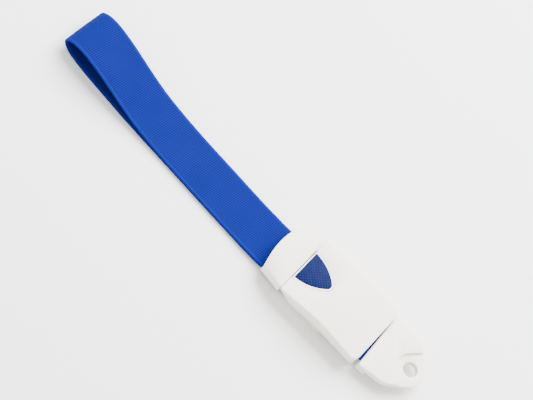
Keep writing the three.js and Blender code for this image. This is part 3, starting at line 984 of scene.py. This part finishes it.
def map_uvs(form):
    """UVs in millimetres: across the strap from one edge, and along it."""
    layer = form.loops.layers.uv.new("UVMap")
    for face in form.faces:
        for loop in face.loops:
            loop[layer].uv = (loop.vert.co.y + STRAP_WIDTH / 2, loop.vert.co.x)


def loop_line():
    """The loop's middle line from its sewn end to where it enters the housing."""
    low, high = (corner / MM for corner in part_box("anchor_bar"))
    bar = ((low.x + high.x) / 2 - SEAM, (low.z + high.z) / 2)
    wrap = (high.z - low.z) / 2 + 0.25 + STRAP_THICK / 2
    main = bar[1] - wrap
    start = [(-12, 4.45), (-9.9, 4.5), (-8.6, 5.4)]
    inside = start + arc(bar, wrap, 115, -90, 12) + [(-10, main)]
    outside = catmull(
        [
            (-14.5, main),
            (-24, 2.5),
            (-36, 1.95),
            (-60, 1.95),
            (-80, 2.1),
            (-96, 3.2),
            (-108, 5.2),
            (-119, 8.2),
            (-130, 11.2),
            (-139.5, 12.9),
            (-147, 13.1),
            (-153.3, 10.9),
            (-156.4, 6.6),
            (-153.3, 2.5),
            (-146, 0.9),
            (-134, 0.65),
            (-100, 0.65),
            (-36, 0.65),
            (-24, 0.95),
            (-13, 1.6),
        ],
        10,
    )
    return inside + outside + [(17.7, 1.6)]


def strap_loop():
    strap = bpy.context.scene.tourniquet_strap
    mouth = HOOD_LOW.x - 4

    def bend(point):
        out = max(0.0, mouth - point.x)
        fold = smooth(out, 90, 138)
        point.x += strap.fold_skew * point.y * fold
        point.y += strap.drift * out + strap.sweep * max(0.0, out - 80) ** 2
        return point

    made, length = webbing("webbing_loop", loop_line(), bend)
    finish_piece(made, "plug", "webbing", finish("webbing"), "strap_loop")
    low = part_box("collar_hood")[0]
    pull_range = next(j for j in frame["joints"] if j["name"] == "tab_pull")["range_m"][1]
    span = low.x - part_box("strap_loop")[0].x
    1 - pull_range / 2 / span
    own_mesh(made)
    length * MM
    return made


def strap_lengths():
    """The climbing length inside the housing and the straight tail that the tab pulls out."""
    low, high = (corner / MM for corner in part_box("strap_ramp"))
    z0 = 1.6
    z1 = (TAIL_LOW.z + TAIL_HIGH.z) / 2
    s0 = low.x + 0.45 - SEAM
    s1 = high.x - SEAM
    climb = [(s0, z0), (s0 + 0.7, z0 + 0.1), (s1 - 1, z1 - 0.1), (s1, z1)]
    ramp, ramp_length = webbing("webbing_ramp", climb)
    finish_piece(ramp, "housing", "webbing", finish("webbing"), "strap_ramp")
    max(0.01, ramp_length * MM)
    tail_line = [(TAIL_LOW.x - SEAM, z1), (TAIL_HIGH.x - SEAM, z1)]
    tail, tail_length = webbing("webbing_tail", tail_line)
    tail.data.materials.clear()
    tail.data.materials.append(finish("straight"))
    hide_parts("strap_tail")
    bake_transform(tail)
    tail_length * MM


# The pull tab


def tab_place():
    """The tab's own frame: its front edge's middle and its turn."""
    tab = bpy.context.scene.tourniquet_tab
    turn = math.radians(tab.turn)
    front = SEAM + HOUSING_LENGTH + 0.3 + tab.half * math.sin(turn)
    return Matrix.Translation((front, tab.sideways, 0)) @ Matrix.Rotation(turn, 4, "Z")


def tab_outline():
    """The tab in plan: a blunt front, nearly straight sides and a round end."""
    tab = bpy.context.scene.tourniquet_tab
    half = tab.half
    end = tab.length - tab.end
    side = [(8, half - 0.5)] + bezier((8, half - 0.5), (16, 15.7), (16, 15.4), (21.4, 10.9), 12)
    side = [p for p in side if p[0] < end + tab.end * math.cos(math.radians(64)) - 0.6]
    nose = arc((end, 0), tab.end, 64, -64, 28)
    corner = 1.3
    far = arc((corner, half - corner), corner, 180, 90, 5)
    near = arc((corner - tab.lean, corner - half), corner, 270, 180, 5)
    return far + side + nose + [(t, -w) for t, w in reversed(side)] + near


def land_outline():
    """The lowered land: round the hole and open towards the end of the tab."""
    tab = bpy.context.scene.tourniquet_tab
    hole = tab.hole_at
    leg = tab.land * math.sqrt(0.5)
    reach = 9.5
    far = tab.length + 4
    return (
        [(hole - leg + reach, leg + reach)]
        + arc((hole, 0), tab.land, 135, 225, 20)
        + [(hole - leg + reach, -leg - reach), (far, -leg - reach), (far, leg + reach)]
    )


def round_edge(form, z, width):
    """Rounds the plan outline of a slab at one height."""
    rim = [e for e in form.edges if all(abs(v.co.z - z) < 0.01 for v in e.verts)]
    bmesh.ops.bevel(
        form, geom=rim, offset=width, segments=5, profile=0.5, affect="EDGES", material=-1
    )
    return form


def tab_half(name, form, tools, node, extra=()):
    """One half of the tab, cut in the tab's own frame and then put in its place."""
    made = new_object(name, form)
    if extra:
        carve(made, extra, "UNION")
    carve(made, tools)
    tidy_mesh(made)
    soften(made, 0.18, 38)
    place = tab_place()
    place.translation = place.translation * MM
    made.data.transform(place)
    return finish_piece(made, "tab", "white_abs", finish("white"), node)


def tab_hole():
    """The hole's cutter, a straight round bar."""
    tab = bpy.context.scene.tourniquet_tab
    return cylinder((tab.hole_at, 0), tab.hole, "Z", -2, 20, 64)


def strap_pocket(low, high):
    """The cutter for the pocket that the strap's end sits in, open at the tab's front."""
    return cuboid(-2, 13, -14.5, 13.7, low, high)


def pull_tab():
    tab = bpy.context.scene.tourniquet_tab
    middle = (TAIL_LOW.z + TAIL_HIGH.z) / 2
    upper = round_edge(prism(tab_outline(), "Z", TAB_LOW.z, TAB_HIGH.z), TAB_HIGH.z, 0.9)
    tab_half(
        "tab_upper",
        upper,
        [
            strap_pocket(4, middle + 0.95),
            prism(land_outline(), "Z", TAB_HIGH.z - tab.land_depth, TAB_HIGH.z + 3),
            tab_hole(),
        ],
        "tab_cover",
    )
    foot = CHIN_LOW.z + 1
    narrow = [(t * 0.965, w * 0.93) for t, w in tab_outline()]
    lower = round_edge(prism(narrow, "Z", foot, CHIN_HIGH.z), foot, 0.45)
    front = [(t, w) for t, w in tab_outline() if t < 4]
    near = [p for p in front if p[1] < 0]
    far = [p for p in front if p[1] > 0]
    nose = far + [(4.6, far[-1][1]), (4.6, near[0][1])] + near
    tab_half(
        "tab_lower",
        lower,
        [strap_pocket(middle - 0.95, 9), tab_hole()],
        "tab_base",
        [
            prism(nose, "Z", foot + 0.02, CHIN_HIGH.z - 0.01),
            cuboid(0.25, 4.5, -15.6, 15.6, CHIN_LOW.z, foot + 0.3),
        ],
    )


# The stage


def stage():
    """Pale floor, soft light and the camera."""
    settings = bpy.context.scene.tourniquet_stage
    low, high = CAD_BOX
    middle = (low + high) / 2
    bpy.ops.mesh.primitive_plane_add(size=4, location=(middle.x, middle.y, low.z - 0.0002))
    floor = bpy.context.object
    floor.name = "floor"
    graph = Graph("floor_paint")
    tone = graph.noise(graph.place(), 3.0)
    colours = bpy.context.scene.tourniquet_colours
    colour = graph.mix(tone, rgba(colours.floor, 0.995), rgba(colours.floor, 1.005))
    floor.data.materials.append(graph.shade(Base_Color=colour, Roughness=0.9, Specular_IOR_Level=0.1))

    up = math.radians(settings.elevation)
    back = Vector((0, -math.cos(up), math.sin(up)))
    aim = Vector((middle.x + settings.aim_x, middle.y + settings.aim_y, middle.z))
    camera = bpy.data.objects.new("camera", bpy.data.cameras.new("camera"))
    bpy.context.scene.collection.objects.link(camera)
    camera.data.lens = settings.lens
    camera.data.clip_start = 0.01
    camera.data.clip_end = 20
    level = (-back).to_track_quat("-Z", "Y").to_matrix().to_4x4()
    roll = Matrix.Rotation(math.radians(settings.roll), 4, "Z")
    camera.matrix_world = Matrix.Translation(aim + back * settings.distance) @ level @ roll
    bpy.context.scene.camera = camera

    soft_light("key", middle + Vector((0.02, 0.6, 0.8)), middle, settings.key, 0.9)
    soft_light("fill", middle + Vector((-0.7, -0.35, 0.55)), middle, settings.fill, 0.8)
    world = bpy.data.worlds.new("studio")
    world.use_nodes = True
    world.node_tree.nodes["Background"].inputs["Color"].default_value = (1, 1, 1, 1)
    world.node_tree.nodes["Background"].inputs["Strength"].default_value = settings.sky
    bpy.context.scene.world = world


def soft_light(name, spot, target, power, size):
    light = bpy.data.lights.new(name, "AREA")
    light.energy = power
    light.size = size
    lamp = bpy.data.objects.new(name, light)
    lamp.location = spot
    lamp.rotation_euler = (target - spot).to_track_quat("-Z", "Y").to_euler()
    bpy.context.scene.collection.objects.link(lamp)


# Operators


class TOURNIQUET_OT_stage(bpy.types.Operator):
    """Set up the floor, the light and the camera"""

    bl_idname = "tourniquet.stage"
    bl_label = "Stage"

    def execute(self, context):
        stage()
        return {"FINISHED"}


class TOURNIQUET_OT_housing(bpy.types.Operator):
    """Model the housing's cover and base and the works inside"""

    bl_idname = "tourniquet.housing"
    bl_label = "Housing"

    def execute(self, context):
        housing_cover()
        housing_base()
        inner_works()
        return {"FINISHED"}


class TOURNIQUET_OT_button(bpy.types.Operator):
    """Model the shield button, its blue inlay and the grip dots"""

    bl_idname = "tourniquet.button"
    bl_label = "Button"

    def execute(self, context):
        button_frame()
        button_inlay()
        return {"FINISHED"}


class TOURNIQUET_OT_collar(bpy.types.Operator):
    """Model the plug's collar"""

    bl_idname = "tourniquet.collar"
    bl_label = "Collar"

    def execute(self, context):
        collar_hood()
        return {"FINISHED"}


class TOURNIQUET_OT_strap(bpy.types.Operator):
    """Model the loop of webbing and the lengths inside the clasp"""

    bl_idname = "tourniquet.strap"
    bl_label = "Strap"

    def execute(self, context):
        strap_loop()
        strap_lengths()
        return {"FINISHED"}


class TOURNIQUET_OT_tab(bpy.types.Operator):
    """Model the two halves of the pull tab"""

    bl_idname = "tourniquet.tab"
    bl_label = "Pull tab"

    def execute(self, context):
        pull_tab()
        return {"FINISHED"}


OPERATORS = (
    TOURNIQUET_OT_stage,
    TOURNIQUET_OT_housing,
    TOURNIQUET_OT_button,
    TOURNIQUET_OT_collar,
    TOURNIQUET_OT_strap,
    TOURNIQUET_OT_tab,
)


class TOURNIQUET_PT_panel(bpy.types.Panel):
    """Lists the pieces of the tourniquet"""

    bl_idname = "TOURNIQUET_PT_panel"
    bl_label = "Tourniquet"
    bl_space_type = "VIEW_3D"
    bl_region_type = "UI"
    bl_category = "Tourniquet"

    def draw(self, context):
        for operator in OPERATORS:
            self.layout.operator(operator.bl_idname)


SETTINGS = {
    "tourniquet_clasp": TourniquetClasp,
    "tourniquet_tab": TourniquetTab,
    "tourniquet_strap": TourniquetStrap,
    "tourniquet_grip": TourniquetGrip,
    "tourniquet_colours": TourniquetColours,
    "tourniquet_stage": TourniquetStage,
}


def register():
    for group in SETTINGS.values():
        bpy.utils.register_class(group)
    for operator in OPERATORS:
        bpy.utils.register_class(operator)
    bpy.utils.register_class(TOURNIQUET_PT_panel)
    for name, group in SETTINGS.items():
        setattr(bpy.types.Scene, name, PointerProperty(type=group))


def unregister():
    for name in SETTINGS:
        delattr(bpy.types.Scene, name)
    bpy.utils.unregister_class(TOURNIQUET_PT_panel)
    for operator in reversed(OPERATORS):
        bpy.utils.unregister_class(operator)
    for group in reversed(list(SETTINGS.values())):
        bpy.utils.unregister_class(group)


def main():
    register()
    for operator in OPERATORS:
        group, name = operator.bl_idname.split(".")
        getattr(getattr(bpy.ops, group), name)()
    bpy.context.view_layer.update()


if __name__ == "__main__":
    main()
